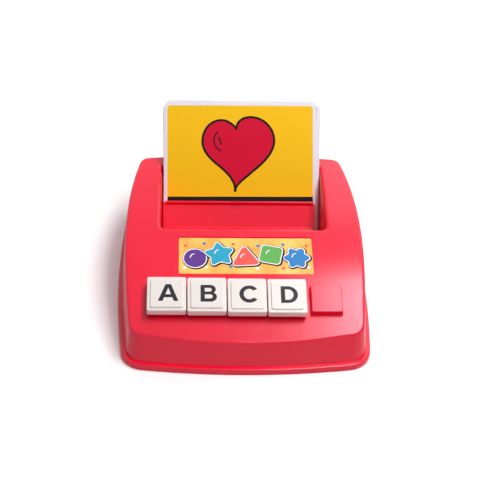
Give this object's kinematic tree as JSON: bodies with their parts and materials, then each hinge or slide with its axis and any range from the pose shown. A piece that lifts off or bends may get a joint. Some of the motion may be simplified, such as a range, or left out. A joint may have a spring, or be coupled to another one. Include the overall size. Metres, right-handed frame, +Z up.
{
  "type": "spelling card game",
  "caption": "Table-top spelling game: a sloped moulded tray with seats for hollow letter tiles, a deep well holding leaning picture cards, and a hinged flap that hides each word.",
  "frame": {"origin": "middle of the underside, on the surface that the tray stands on", "axes": "+Z up, -Y towards the player, +X to the player's right"},
  "size_m": [0.177, 0.1934, 0.0956],
  "materials": {
    "red_shell": "glossy moulded",
    "red_inner": "satin moulded",
    "cream_tile": "glossy moulded",
    "card_stock": "laminated print",
    "label_film": "glossy print",
    "screw_steel": "zinc plated"
  },
  "bodies": {
    "tray": {"top_shell": "red_shell", "base_cover": "red_inner", "card_pocket": "red_inner", "label_plate": "label_film", "base_screws": "screw_steel", "pocket_screws": "screw_steel"},
    "flap": {"word_flap": "red_shell"},
    "tile_1": {"letter_tile_1": "cream_tile"},
    "tile_2": {"letter_tile_2": "cream_tile"},
    "tile_3": {"letter_tile_3": "cream_tile"},
    "tile_4": {"letter_tile_4": "cream_tile"},
    "front_card_body": {"front_card": "card_stock"},
    "pack_card_02_body": {"pack_card_02": "card_stock"},
    "pack_card_03_body": {"pack_card_03": "card_stock"},
    "pack_card_04_body": {"pack_card_04": "card_stock"},
    "pack_card_05_body": {"pack_card_05": "card_stock"},
    "pack_card_06_body": {"pack_card_06": "card_stock"},
    "pack_card_07_body": {"pack_card_07": "card_stock"},
    "pack_card_08_body": {"pack_card_08": "card_stock"},
    "pack_card_09_body": {"pack_card_09": "card_stock"},
    "pack_card_10_body": {"pack_card_10": "card_stock"}
  },
  "joints": [
    {"name": "flap_hinge", "type": "hinge", "parent": "tray", "child": "flap", "pos_m": [0, 0.03344, 0.0214], "axis": [1, 0, 0], "range_deg": [0, 136]},
    {"name": "tile_1_lift", "type": "slide", "parent": "tray", "child": "tile_1", "axis": [0, -0.3331, 0.9429], "range_m": [0, 0.02]},
    {"name": "tile_2_lift", "type": "slide", "parent": "tray", "child": "tile_2", "axis": [0, -0.3331, 0.9429], "range_m": [0, 0.02]},
    {"name": "tile_3_lift", "type": "slide", "parent": "tray", "child": "tile_3", "axis": [0, -0.3331, 0.9429], "range_m": [0, 0.02]},
    {"name": "tile_4_lift", "type": "slide", "parent": "tray", "child": "tile_4", "axis": [0, -0.3331, 0.9429], "range_m": [0, 0.02]},
    {"name": "front_card_lift", "type": "slide", "parent": "tray", "child": "front_card_body", "axis": [0, 0.6101, 0.7923], "range_m": [0, 0.07]},
    {"name": "pack_card_02_lift", "type": "slide", "parent": "tray", "child": "pack_card_02_body", "axis": [0, 0.6101, 0.7923], "range_m": [0, 0.07]},
    {"name": "pack_card_03_lift", "type": "slide", "parent": "tray", "child": "pack_card_03_body", "axis": [0, 0.6101, 0.7923], "range_m": [0, 0.07]},
    {"name": "pack_card_04_lift", "type": "slide", "parent": "tray", "child": "pack_card_04_body", "axis": [0, 0.6101, 0.7923], "range_m": [0, 0.07]},
    {"name": "pack_card_05_lift", "type": "slide", "parent": "tray", "child": "pack_card_05_body", "axis": [0, 0.6101, 0.7923], "range_m": [0, 0.07]},
    {"name": "pack_card_06_lift", "type": "slide", "parent": "tray", "child": "pack_card_06_body", "axis": [0, 0.6101, 0.7923], "range_m": [0, 0.07]},
    {"name": "pack_card_07_lift", "type": "slide", "parent": "tray", "child": "pack_card_07_body", "axis": [0, 0.6101, 0.7923], "range_m": [0, 0.07]},
    {"name": "pack_card_08_lift", "type": "slide", "parent": "tray", "child": "pack_card_08_body", "axis": [0, 0.6101, 0.7923], "range_m": [0, 0.07]},
    {"name": "pack_card_09_lift", "type": "slide", "parent": "tray", "child": "pack_card_09_body", "axis": [0, 0.6101, 0.7923], "range_m": [0, 0.07]},
    {"name": "pack_card_10_lift", "type": "slide", "parent": "tray", "child": "pack_card_10_body", "axis": [0, 0.6101, 0.7923], "range_m": [0, 0.07]}
  ]
}
